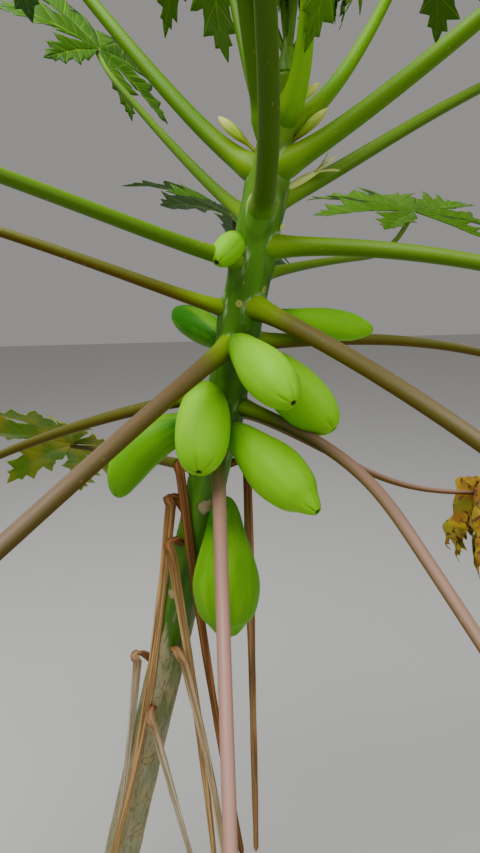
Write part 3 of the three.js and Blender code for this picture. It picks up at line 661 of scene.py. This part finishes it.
def drape_blade(name, leaf, seed):
    """One blade, drooping towards its tips and seated on the end of its stalk."""
    blade = copy_blade(name)
    flat = kept(blade, "position")
    random = np.random.default_rng(seed)
    lobe = kept(blade, "lobe").astype(int)
    lift = random.uniform(-0.05, 0.03, LOBE_COUNT)[lobe]
    curl = random.uniform(-0.10, 0.06, LOBE_COUNT)[lobe]
    phase = random.uniform(0, 6.28, 4)
    x, y = flat[:, 0], flat[:, 1]
    reach = np.hypot(x, y)
    ripple = np.cos(np.arctan2(y, x) * 360 / LOBE_SPREAD)
    far = smooth(reach, 0.25, 1.0)
    height = -leaf["droop"] * reach**2 - GATHER * reach * ripple
    height += far * (lift * reach + curl * reach**2)
    height += 0.012 * np.sin(17 * x + phase[0]) * np.sin(15 * y + phase[1]) * far
    height += 0.010 * kept(blade, "quilt") * smooth(reach, 0.1, 0.4)
    height -= 0.009 * kept(blade, "rib") ** 1.3
    pull = 1 - 0.25 * leaf["droop"] * reach**2
    x = x * pull + 0.010 * far * np.sin(9 * y + phase[2])
    y = y * pull + 0.010 * far * np.sin(9 * x + phase[3])
    place, along, _ = leaf_walk(leaf, np.array([0.99, 1.0]))
    facing = leaf["heading"] + leaf["veer"] + leaf["swing"]
    tilt = [np.radians(leaf["roll"]), np.radians(leaf["nod"]), np.radians(facing)]
    turn = np.array(Euler(tilt, "XYZ").to_matrix())
    climb = max(0.0, float(turn[:, 2] @ along[-1]))
    rest = STALK_RADIUS[1] * leaf["stout"] * np.sqrt(1 - climb**2) + SOLID_THICKNESS / 2 + SEAT_GAP
    draped = np.stack([x, y, height], -1) * leaf["blade"] + [0, 0, rest]
    blade.data.vertices.foreach_set("co", (draped @ turn.T + place[-1]).ravel())
    thicken(blade, BLADE_THICKNESS)
    return blade


def blade_skin(name, top, under, yellow=0):
    """Satin, and paler beneath, with pale veins. Yellow is how far it has yellowed."""
    skin, tree, shader = new_skin(name, 0.48, 0.2)
    places = add_node(tree, "SeparateXYZ", {0: add_node(tree, "UVMap").outputs[0]})
    count = calculate(tree, "MULTIPLY", places.outputs["X"], 5.0)
    across = places.outputs["Y"]
    main_vein = fade(tree, across, 0.035, 0.075, 1, 0)
    side_vein = fade(tree, calculate(tree, "PINGPONG", count, 0.5), 0.018, 0.05, 1, 0)
    fine = calculate(tree, "PINGPONG", calculate(tree, "MULTIPLY", count, 4.0), 0.5)
    fine_vein = fade(tree, fine, 0.04, 0.14, 0.35, 0)
    veins = calculate(tree, "MAXIMUM", main_vein, calculate(tree, "MAXIMUM", side_vein, fine_vein))
    patch = cloud_in(tree, place_in(tree), 14.0, 3.0)
    tone = mix(tree, measure(tree, "under"), top, under)
    tone = tint(tree, tone, fade(tree, patch, 0.4, 0.65), 0.3, under)
    if yellow:
        tone = tint(tree, tone, fade(tree, patch, 0.62 - 0.25 * yellow, 0.66), 0.9, LEAF_YELLOW)
    tone = tint(tree, tone, veins, 0.75, BLADE_VEIN)
    join(tree, tone, shader, "Base Color")
    relief(tree, shader, calculate(tree, "SUBTRACT", 1.0, veins), 0.0006, 0.4)
    return skin


flat_blade = cut_flat_blade()
grown_blade = blade_skin("Grown blade", BLADE_TOP, BLADE_UNDER)
young_blade = blade_skin("Young blade", YOUNG_TOP, YOUNG_UNDER)
yellowing_blade = blade_skin("Yellowing blade", YELLOWING_TOP, YELLOWING_UNDER, 0.9)
# The lighter colours of leaf 10 are painted light.
blade_skins = {YELLOWING_LEAF: yellowing_blade, LIT_THROUGH_LEAF: young_blade}
for number, leaf in enumerate(LEAVES, 1):
    blade = drape_blade(f"blade_{number:02d}", leaf, number)
    skin, slot = (blade_skins.get(number, grown_blade), "blade")
    if leaf["z"] > BLADES_YOUNG_ABOVE:
        skin, slot = (young_blade, "young_blade")
    hand_over(blade, skin, slot, f"leaf_blade_{number:02d}")


# Withered leaf
# The lowest leaf on the far side has yellowed and curled shut like a wet umbrella, at the end of a
# stalk that is still sound.
WITHERED = dict(heading=18, drop=0.215, width=0.040, crumple=0.42, seed=18)
WITHERED_SHIFT = (0.021, 0.0, 0.004)
WITHERED_BROWN = (0.36, 0.17, 0.004, 1)
WITHERED_YELLOW = (0.62, 0.43, 0.01, 1)
WITHERED_GREEN = (0.24, 0.30, 0.01, 1)
WITHERED_SPOT = (0.13, 0.055, 0.01, 1)


def fold_blade(name, end, heading, drop, width, crumple, seed):
    """A blade folded shut and hanging from the end of its stalk."""
    blade = copy_blade(name)
    flat = kept(blade, "position")
    random = np.random.default_rng(seed)
    reach = np.hypot(flat[:, 0], flat[:, 1])
    turn = np.arctan2(flat[:, 1], flat[:, 0])
    phase = random.uniform(0, 6.28, 6)
    bulge = width * (np.sin(np.pi * np.clip(reach * 0.92 + 0.04, 0, 1)) ** 0.7) + 0.10 * width
    pleat = np.cos(turn * 360 / LOBE_SPREAD) + 0.35 * np.sin(23 * reach + phase[0] + 3 * turn)
    pleat = pleat + 0.5 * crumple * np.sin(47 * reach + 9 * turn + phase[5])
    out = bulge * (1 + crumple * pleat) * smooth(reach, 0, 0.16)
    twist = turn + np.radians(heading) + crumple * 0.5 * np.sin(5 * reach + phase[1])
    z = 0.10 * drop * np.sin(np.pi * np.clip(reach * 3.2, 0, 1))
    z -= 1.13 * drop * np.clip(reach - 0.12, 0, 1)
    z += crumple * 0.05 * drop * np.sin(9 * turn + 11 * reach + phase[2])
    x = out * np.cos(twist) + crumple * 0.10 * width * np.sin(31 * reach + 5 * turn + phase[3])
    y = out * np.sin(twist) + crumple * 0.10 * width * np.sin(29 * reach - 4 * turn + phase[4])
    blade.data.vertices.foreach_set("co", (np.stack([x, y, z], -1) + end).ravel())
    thicken(blade, BLADE_THICKNESS)
    return blade


stalk = grow_stalk("withered_stalk", WITHERED_LEAF)
hand_over(stalk, ageing_stalk, "ageing_stalk", "withered_leaf")
stalk_end = leaf_walk(WITHERED_LEAF, np.array([0.5, 1.0]))[0][-1]
withered = fold_blade("withered_blade", stalk_end + WITHERED_SHIFT, **WITHERED)
dry_leaf, tree, shader = new_skin("Withered leaf", 0.7)
place = place_in(tree)
patch = fade(tree, cloud_in(tree, place, 32.0, 4.0), 0.42, 0.60)
tone = mix(tree, patch, WITHERED_BROWN, WITHERED_YELLOW)
fresh = fade(tree, cloud_in(tree, place, 17.0, 2.0), 0.54, 0.66, 0.0, 0.6)
tone = mix(tree, fresh, tone, WITHERED_GREEN)
spots = cloud_in(tree, place, 95.0, 4.0)
tone = mix(tree, fade(tree, spots, 0.54, 0.64), tone, WITHERED_SPOT)
join(tree, tone, shader, "Base Color")
relief(tree, shader, spots, 0.002, 0.6)
hand_over(withered, dry_leaf, "withered", "withered_leaf")


# Fruits
# Smooth, waxy and unripe, with five faint ridges that draw in to puckers at the blossom end, where
# the dried flower left a dark dot. A short thick stalk holds each to the trunk above a leaf base
# and turns down into the fruit.
FRUIT_STALK_RADIUS = 0.006
FRUIT_SIDES = 60
FRUIT_RINGS = 72
FRUIT_BRIGHT = (0.235, 0.62, 0.004, 1)
FRUIT_DEEP = (0.022, 0.150, 0.003, 1)
FRUIT_PALE = (0.33, 0.70, 0.012, 1)
FRUIT_SPECK = (0.5, 0.6, 0.12, 1)
FRUIT_STALK_GREEN = (0.15, 0.25, 0.01, 1)
# A darker green painted as shade in the creases of the blossom-end puckers.
FRUIT_PUCKER_SHADE = (0.07, 0.15, 0.002, 1)
FRUIT_DOT = (0.022, 0.012, 0.004, 1)
FRUIT_INSET = STEM_RADIUS * 0.6
FRUIT_ELBOW = (0.02, 0.18)
# Height and heading of its seat, the fruit's own heading and dip, its length and girth, how far its
# neck and its point draw in, how far it bends, and how deep a green it is. On the first fruit, which
# hangs behind the trunk, the deep green is painted shade.
FRUIT_FIELDS = "z seat heading dip length girth neck point bend deep".split()
FRUIT_ROWS = [
    (1.348, 115, 131, -17, 0.131, 0.048, 0.09, 0.13, 0, 1.0),
    (1.357, -97, -60, 25, 0.151, 0.062, 0.50, 0.13, 0, 0.0),
    (1.329, -6, -34, 37, 0.149, 0.072, 0.17, 0.04, 2, 0.0),
    (1.290, -153, -94, 35, 0.147, 0.072, 0.10, 0.0, 2, 0.0),
    (1.232, 178, 181, -7, 0.178, 0.063, 0.21, 0.26, 89, 0.5),
    (1.234, -68, -46, 28, 0.182, 0.075, 0.60, 0.80, 0, 0.0),
    (1.385, 19, -2, 9, 0.153, 0.042, 0.72, 0.08, 0, 0.2),
    (1.124, -41, -90, 70, 0.208, 0.096, 0.88, 0.30, 13, 0.48),
]
FRUITS = [dict(zip(FRUIT_FIELDS, row)) for row in FRUIT_ROWS]
SMALL_FRUIT = dict(zip(FRUIT_FIELDS, (1.486, -157, -122, 30, 0.056, 0.036, 0, 0.3, 0, 0.25)))


def rounded_curve(points, count):
    """Points on a smooth curve through the given ones, evenly many between each two."""
    points = np.array(points, float)
    ends = np.vstack([2 * points[0] - points[1], points, 2 * points[-1] - points[-2]])
    where = np.linspace(0, len(points) - 1, count)
    i = np.minimum(where.astype(int), len(points) - 2)
    t = (where - i)[:, None]
    a, b, c, d = ends[i], ends[i + 1], ends[i + 2], ends[i + 3]
    return b + 0.5 * t * (c - a + t * (2 * a - 5 * b + 4 * c - d + t * (3 * (b - c) + d - a)))


def crease_at(angle):
    """From 0 on the five ridges of a fruit to 1 between them."""
    return 1 - np.abs(np.cos(2.5 * angle + 1.1))


def grow_fruit(name, fruit, ridges=0.022):
    stem = 2 * FRUIT_STALK_RADIUS / fruit["girth"]
    neck = fruit["neck"]
    point = fruit["point"]
    knots = [
        (0.0, stem),
        (0.07, stem),
        (0.115, 0.44 - 0.14 * neck),
        (0.18, 0.68 - 0.25 * neck),
        (0.30, 0.90 - 0.34 * neck),
        (0.50 + 0.12 * neck, 1.0),
        (0.74 + 0.08 * neck, 0.93 - 0.13 * point),
        (0.90, 0.68 - 0.26 * point),
        (0.965, 0.42 - 0.18 * point),
        (0.994, 0.15),
    ]
    profile = rounded_curve(knots, FRUIT_RINGS - 2)
    dimple = np.array([(0.990, 0.08), (0.982, 0.03)])
    profile = np.vstack([profile, dimple])
    shares = profile[:, 0]
    start = trunk_centre(fruit["z"]) + direction(fruit["seat"], 0) * FRUIT_INSET
    length = fruit["length"] + STEM_RADIUS - FRUIT_INSET

    def heading_at(share):
        return fruit["seat"] + (fruit["heading"] - fruit["seat"]) * smooth(share, *FRUIT_ELBOW)

    def rise_at(share):
        return -fruit["dip"] * smooth(share, *FRUIT_ELBOW) - fruit["bend"] * share

    track = walk(start, length, shares, heading_at, rise_at)
    angle = angles_round(FRUIT_SIDES)
    body = smooth(shares, 0.1, 0.5)[:, None]
    radius = profile[:, 1:2] * fruit["girth"] / 2 * (1 - ridges * body * crease_at(angle) ** 2)
    pucker = smooth(shares, 0.88, 0.985)[:, None]
    crease = crease_at(angle) ** 5 + 0.4 * (1 - np.abs(np.cos(5 * angle + 0.4))) ** 5
    radius = radius * (1 - 0.22 * pucker * crease)
    piece = roll_up(name, *track, radius)
    grain = kept(piece, "grain")
    share = grain[:, 2] / grain[:, 2].max()
    keep(piece, deep=np.clip(fruit["deep"] + 0.8 * (1 - smooth(share, 0.12, 0.42)), 0, 1))
    distance = np.hypot(grain[:, 0], grain[:, 1])
    turned = np.arctan2(grain[:, 1], grain[:, 0])
    star = smooth(0.0040 + 0.0014 * crease_at(turned) ** 2 - distance, 0, 0.0018)
    keep(piece, blossom_end=smooth(share, 0.9, 0.97) * star)
    pucker = crease_at(turned) ** 5 * smooth(share, 0.90, 0.985)
    keep(piece, pucker=pucker * smooth(distance, 0.002, 0.004))
    keep(piece, stem=1 - smooth(share, 0.075, 0.11))
    return piece


fruit_skin, tree, shader = new_skin("Fruit skin", 0.46, 0.09)
tone = mix(tree, measure(tree, "deep"), FRUIT_BRIGHT, FRUIT_DEEP)
tone = tint(tree, tone, streaks_in(tree, 46, 9, 0.45, 0.7), 0.3, FRUIT_PALE)
tone = tint(tree, tone, specks_in(tree, 260, 0.8, 0.28), 0.2, FRUIT_SPECK)
tone = mix(tree, measure(tree, "stem"), tone, FRUIT_STALK_GREEN)
# Painted shade: the pucker creases at the blossom end are coloured darker.
tone = tint(tree, tone, measure(tree, "pucker"), 0.45, FRUIT_PUCKER_SHADE)
tone = mix(tree, measure(tree, "blossom_end"), tone, FRUIT_DOT)
join(tree, tone, shader, "Base Color")
relief(tree, shader, streaks_in(tree, 60, 40, 0.3, 0.7), 0.0004, 0.2)
for number, fruit in enumerate(FRUITS, 1):
    hand_over(grow_fruit(f"fruit_skin_{number:02d}", fruit), fruit_skin, "fruit", f"fruit_{number:02d}")
hand_over(grow_fruit("small_fruit", SMALL_FRUIT, 0.05), fruit_skin, "fruit", "trunk")


# Flower buds
# Long cream-green buds on thin stalks in the axils of the upper leaves, one of them open, with five
# narrow petals that curl back from a slender tube.
BUD_FIELDS = "z heading rise length girth".split()
BUD_ROWS = [
    (1.572, 158, 42, 0.068, 0.014),
    (1.574, 4, 40, 0.072, 0.012),
    (1.625, 10, 36, 0.046, 0.010),
    (1.478, -10, 30, 0.016, 0.008),
    (1.606, -92, 50, 0.026, 0.008),
]
BUDS = [dict(zip(BUD_FIELDS, row)) for row in BUD_ROWS]
FLOWER = dict(zip(BUD_FIELDS, (1.528, 6, 27, 0.070, 0.012)))
BUD_NECK = 0.0024
BUD_LIGHT = (0.52, 0.70, 0.05, 1)
BUD_GREEN = (0.34, 0.56, 0.02, 1)
BUD_CREAM = (0.74, 0.79, 0.15, 1)
BUD_STEM = (0.24, 0.30, 0.002, 1)
PETALS = dict(count=5, length=0.033, width=0.0075, flatness=0.16, spread=17, curl=30)
PETAL_LIGHT = (0.84, 0.86, 0.30, 1)
PETAL_GREEN = (0.62, 0.74, 0.15, 1)


def steady(value):
    """A heading or rise that stays the same all along a limb."""
    return lambda share: value + 0 * share


def grow_bud(name, bud, opens=False):
    shares = np.linspace(0, 1, 40)
    length = bud["length"] + trunk_radius(bud["z"])
    reach = length * (0.86 if opens else 1)
    track = walk(trunk_centre(bud["z"]), reach, shares, steady(bud["heading"]), steady(bud["rise"]))
    angle = angles_round(20)
    body = np.sin(np.pi * np.clip((shares - 0.40) / 0.605, 0, 1) ** 1.6) ** 0.8
    thick = bud["girth"] / 2 * (0.6 if opens else 0.9)
    radius = (BUD_NECK * (1 - smooth(shares, 0.5, 0.9)) + thick * body ** (0.6 if opens else 1))[:, None]
    radius = radius * (1 + 0.05 * np.cos(5 * angle + 3 * shares[:, None]))
    piece = roll_up(name, *track, radius)
    share = kept(piece, "grain")[:, 2] / length
    keep(piece, stem=1 - smooth(share, 0.42, 0.66))
    keep(piece, ripe=smooth(share, 0.60, 0.95))
    return piece


def grow_petal(name, start, heading, rise, curl):
    """A narrow petal: a thin flattened limb that curls back."""
    shares = np.linspace(0, 1, 16)
    track = walk(start, PETALS["length"], shares, steady(heading), lambda s: rise + curl * s**1.5)
    angle = angles_round(12)
    width = PETALS["width"] * np.sin(np.pi * (0.1 + 0.86 * shares)) ** 0.7
    flat = 1 / np.sqrt(np.cos(angle) ** 2 + (np.sin(angle) / PETALS["flatness"]) ** 2)
    return roll_up(name, *track, width[:, None] * flat)


flower = grow_bud("flower", FLOWER, opens=True)
mouth = kept(flower, "grain")[:, 2].max() * 0.9
throat = trunk_centre(FLOWER["z"]) + direction(FLOWER["heading"], FLOWER["rise"]) * mouth
petals = []
for n in range(PETALS["count"]):
    turn = np.radians(n * 360 / PETALS["count"] + 20)
    heading = FLOWER["heading"] + PETALS["spread"] * np.cos(turn)
    rise = FLOWER["rise"] + PETALS["spread"] * np.sin(turn)
    petals.append(grow_petal(f"petal_{n}", throat, heading, rise, PETALS["curl"] * np.sin(turn)))
join_pieces([flower, *petals])

bud_skin, tree, shader = new_skin("Bud skin", 0.5, 0.3)
tone = mix(tree, streaks_in(tree, 300, 12, 0.4, 0.62), BUD_LIGHT, BUD_GREEN)
tone = mix(tree, measure(tree, "ripe"), tone, BUD_CREAM)
tone = mix(tree, measure(tree, "stem"), tone, BUD_STEM)
join(tree, tone, shader, "Base Color")
petal_skin, tree, shader = new_skin("Petal", 0.5, 0.3)
tone = mix(tree, streaks_in(tree, 300, 12, 0.4, 0.62), PETAL_LIGHT, PETAL_GREEN)
join(tree, tone, shader, "Base Color")
for number, bud in enumerate(BUDS, 1):
    hand_over(grow_bud(f"bud_{number}", bud), bud_skin, "young_blade", "trunk")
hand_over(flower, petal_skin, "young_blade", "trunk")


# Dead stalks
# The stalks of older leaves have dried where they stood, snapped over close to the trunk and hang
# beside it, shrunk flat, split along the fibres, and bleached towards their ends.
FOLD_LENGTH = 0.046
DRY_RED = ((0.11, 0.032, 0.008, 1), (0.28, 0.105, 0.028, 1))
DRY_STRAW = ((0.38, 0.19, 0.042, 1), (0.80, 0.46, 0.13, 1))
DRY_GREY = ((0.48, 0.42, 0.28, 1), (0.90, 0.82, 0.60, 1))
DRY_SPLIT = (0.045, 0.024, 0.012, 1)
# Height, heading and rise of the stump, its reach, the heading and slope once it hangs, its slope at
# the end, its length, radius and twist, and how far it is bleached to straw and to grey.
DEAD_FIELDS = "z heading rise reach away hang end length radius twist straw grey".split()
DEAD_ROWS = [
    (1.125, -150, 62, 0.048, 30, -85, -82, 0.820, 0.0062, 14, 0.12, 0.0),
    (1.068, -166, 60, 0.046, 160, -81, -73, 0.860, 0.0066, -18, 0.9, 0.15),
    (1.036, -126, 30, 0.038, 60, -81, -86, 0.800, 0.0062, 22, 0.95, 0.2),
    (0.796, -166, 50, 0.040, 150, -80, -78, 0.600, 0.0058, 12, 0.9, 0.9),
    (0.841, -70, 30, 0.050, 40, -79, -86, 0.640, 0.0058, -20, 0.8, 0.5),
    (0.736, -96, 14, 0.036, 60, -77, -76, 0.560, 0.0056, 16, 0.8, 0.8),
    (1.162, 22, 10, 0.032, 90, -88, -78, 0.900, 0.0060, 14, 0.4, 0.1),
]
DEAD_STALKS = [dict(zip(DEAD_FIELDS, row)) for row in DEAD_ROWS]


def grow_dead_stalk(name, stalk, seed):
    start = stalk["reach"] / stalk["length"]
    fold = (stalk["reach"] + FOLD_LENGTH) / stalk["length"]

    def rise_at(share):
        bent = smooth(share, start, fold)
        hang = (stalk["end"] - stalk["hang"]) * smooth(share, fold, 1)
        return stalk["rise"] + (stalk["hang"] - stalk["rise"]) * bent + hang

    def heading_at(share):
        turned = smooth(share, start + 0.4 * (fold - start), fold)
        return stalk["heading"] + (stalk["away"] - stalk["heading"]) * turned

    shares = np.linspace(0, 1, 130) ** 1.4
    track = walk(trunk_centre(stalk["z"]), stalk["length"], shares, heading_at, rise_at)
    angle = angles_round(28)
    share = shares[:, None]
    random = np.random.default_rng(seed)
    phase = random.uniform(0, 6.28, 4)
    _, along, side = track
    top = np.cross(along, side)
    facing = np.arctan2(top[:, 0], side[:, 0])[:, None]
    turn = angle - facing - np.radians(stalk["twist"]) * (share - 0.35)
    flat = 0.85 - 0.45 * smooth(share, 0.02, 0.12)
    oval = flat / np.sqrt((flat * np.cos(turn)) ** 2 + np.sin(turn) ** 2)
    groove = 1 - 0.34 * np.abs(np.sin(turn)) ** 8 * smooth(share, 0.04, 0.2)
    shrunk = 1 + 0.06 * np.sin(13 * share + phase[0]) + 0.03 * np.sin(41 * share + phase[1])
    strands = 1 + 0.035 * np.sin(5 * turn + 3 * share + phase[2])
    radius = stalk["radius"] * (1.25 - 0.35 * share) * oval * groove * shrunk * strands
    piece = roll_up(name, *track, radius * (1 - 0.85 * smooth(share, 0.985, 1)))
    along_it = kept(piece, "grain")[:, 2] / stalk["length"]
    keep(piece, straw=smooth(along_it, 0.04, 0.24) * stalk["straw"])
    keep(piece, grey=smooth(along_it, 0.04, 0.30) * stalk["grey"])
    return piece


dry_fibre, tree, shader = new_skin("Dry fibre", 0.82, 0.25)
strand = streaks_in(tree, 360, 6, 0.40, 0.62)
red, straw, grey = [mix(tree, strand, *tones) for tones in (DRY_RED, DRY_STRAW, DRY_GREY)]
tone = mix(tree, measure(tree, "straw"), red, straw)
tone = mix(tree, measure(tree, "grey"), tone, grey)
tone = tint(tree, tone, streaks_in(tree, 620, 10, 0.56, 0.66), 0.6, DRY_SPLIT)
join(tree, tone, shader, "Base Color")
relief(tree, shader, streaks_in(tree, 620, 8, 0.3, 0.7), 0.0007, 0.6)
for number, stalk in enumerate(DEAD_STALKS, 1):
    piece = grow_dead_stalk(f"dry_stalk_{number:02d}", stalk, number)
    hand_over(piece, dry_fibre, "dead", f"dead_stalk_{number:02d}")


# Shoot tip
# A tuft of young leaves on top of the trunk, each still folded shut at the end of a thin stalk that
# stands almost upright.
TIP = dict(leaves=5, height=0.046, radius=0.015, stalk=0.0032, longest=0.150, step=0.017, rise=62)
TIP_SEED = 40
TIP_DEEP = (0.070, 0.19, 0.0, 1)
foot = trunk_centre(np.array(TRUNK_HEIGHT)) + [0, 0, SEAT_GAP]
shares = np.linspace(0, 1, 12)
column = walk(foot, TIP["height"], shares, steady(0), steady(90))
heart = TIP["radius"] * (1 - 0.75 * shares[:, None] ** 0.8) * (1 + 0.05 * np.cos(5 * angles_round(32)))
parts = [roll_up("shoot_heart", *column, heart)]
for n in range(TIP["leaves"]):
    heading = n * GOLDEN_ANGLE + 20
    length = TIP["longest"] - n * TIP["step"]
    rise = TIP["rise"] + n * 4
    start = foot + [0, 0, TIP["height"] * (0.2 + 0.1 * n)]
    shares = np.linspace(0, 1, 24)
    track = walk(start, length, shares, steady(heading), lambda s: rise + 10 * s)
    radius = TIP["stalk"] * (1.3 - 0.6 * shares)[:, None] * np.ones((1, 12))
    parts.append(roll_up(f"shoot_stalk_{n}", *track, radius))
    folded = dict(heading=heading, drop=length * 0.62, width=length * 0.11, crumple=0.35, seed=TIP_SEED + n)
    parts.append(fold_blade(f"shoot_leaf_{n}", track[0][-1], **folded))
join_pieces(parts)
tip_skin, tree, shader = new_skin("Shoot skin", 0.45)
tone = mix(tree, streaks_in(tree, 160, 10, 0.4, 0.65), TIP_GREEN, TIP_DEEP)
join(tree, tone, shader, "Base Color")
hand_over(parts[0], tip_skin, "young_blade", "shoot_tip")
bpy.data.objects.remove(flat_blade)


# Studio
# A pale floor at ground level, a bright even sky, one large soft light above and to the left with a
# weak one opposite, and the camera at chest height, close to the tree and looking a little down.
FLOOR_SIZE = 24
CAMERA_PLACE = Vector((0.34, -1.05, 1.45))
CAMERA_PITCH = np.radians(14)
CAMERA_ROLL = np.radians(1.5)
CAMERA_LENS = 27.05
SUBJECT = (0.25, -0.1, 1.2)
FLOOR_WHITE = (0.62, 0.62, 0.60, 1)
SKY_WHITE = (1.0, 0.98, 0.95, 1)
SKY_STRENGTH = 0.30

bpy.ops.mesh.primitive_plane_add(size=FLOOR_SIZE)
floor = bpy.context.object
floor.name = "floor"
paint, tree, shader = new_skin("Pale floor", 0.9)
shader.inputs["Base Color"].default_value = FLOOR_WHITE
floor.data.materials.append(paint)

world = bpy.data.worlds.new("Studio")
world.use_nodes = True
sky = world.node_tree.nodes["Background"]
sky.inputs["Color"].default_value = SKY_WHITE
sky.inputs["Strength"].default_value = SKY_STRENGTH
bpy.context.scene.world = world


def hang_light(name, place, size, power):
    bpy.ops.object.light_add(type="AREA", location=place)
    light = bpy.context.object
    light.name = name
    light.data.shape = "DISK"
    light.data.size = size
    light.data.energy = power
    light.rotation_euler = (Vector(SUBJECT) - Vector(place)).to_track_quat("-Z", "Y").to_euler()


hang_light("key", (-0.5, -0.9, 3.9), 3.0, 165)
hang_light("fill", (2.4, -1.8, 2.4), 2.4, 30)

ahead_up = Vector((0, np.sin(CAMERA_PITCH), np.cos(CAMERA_PITCH)))
ahead = Vector((0, np.cos(CAMERA_PITCH), -np.sin(CAMERA_PITCH)))
right = Vector((1, 0, 0)) * np.cos(CAMERA_ROLL) - ahead_up * np.sin(CAMERA_ROLL)
up = ahead_up * np.cos(CAMERA_ROLL) + Vector((1, 0, 0)) * np.sin(CAMERA_ROLL)
bpy.ops.object.camera_add(location=CAMERA_PLACE)
camera = bpy.context.object
camera.rotation_euler = Matrix((right, up, -ahead)).transposed().to_euler()
camera.data.sensor_width = 36
camera.data.lens = CAMERA_LENS
camera.data.clip_start = 0.02
bpy.context.scene.camera = camera
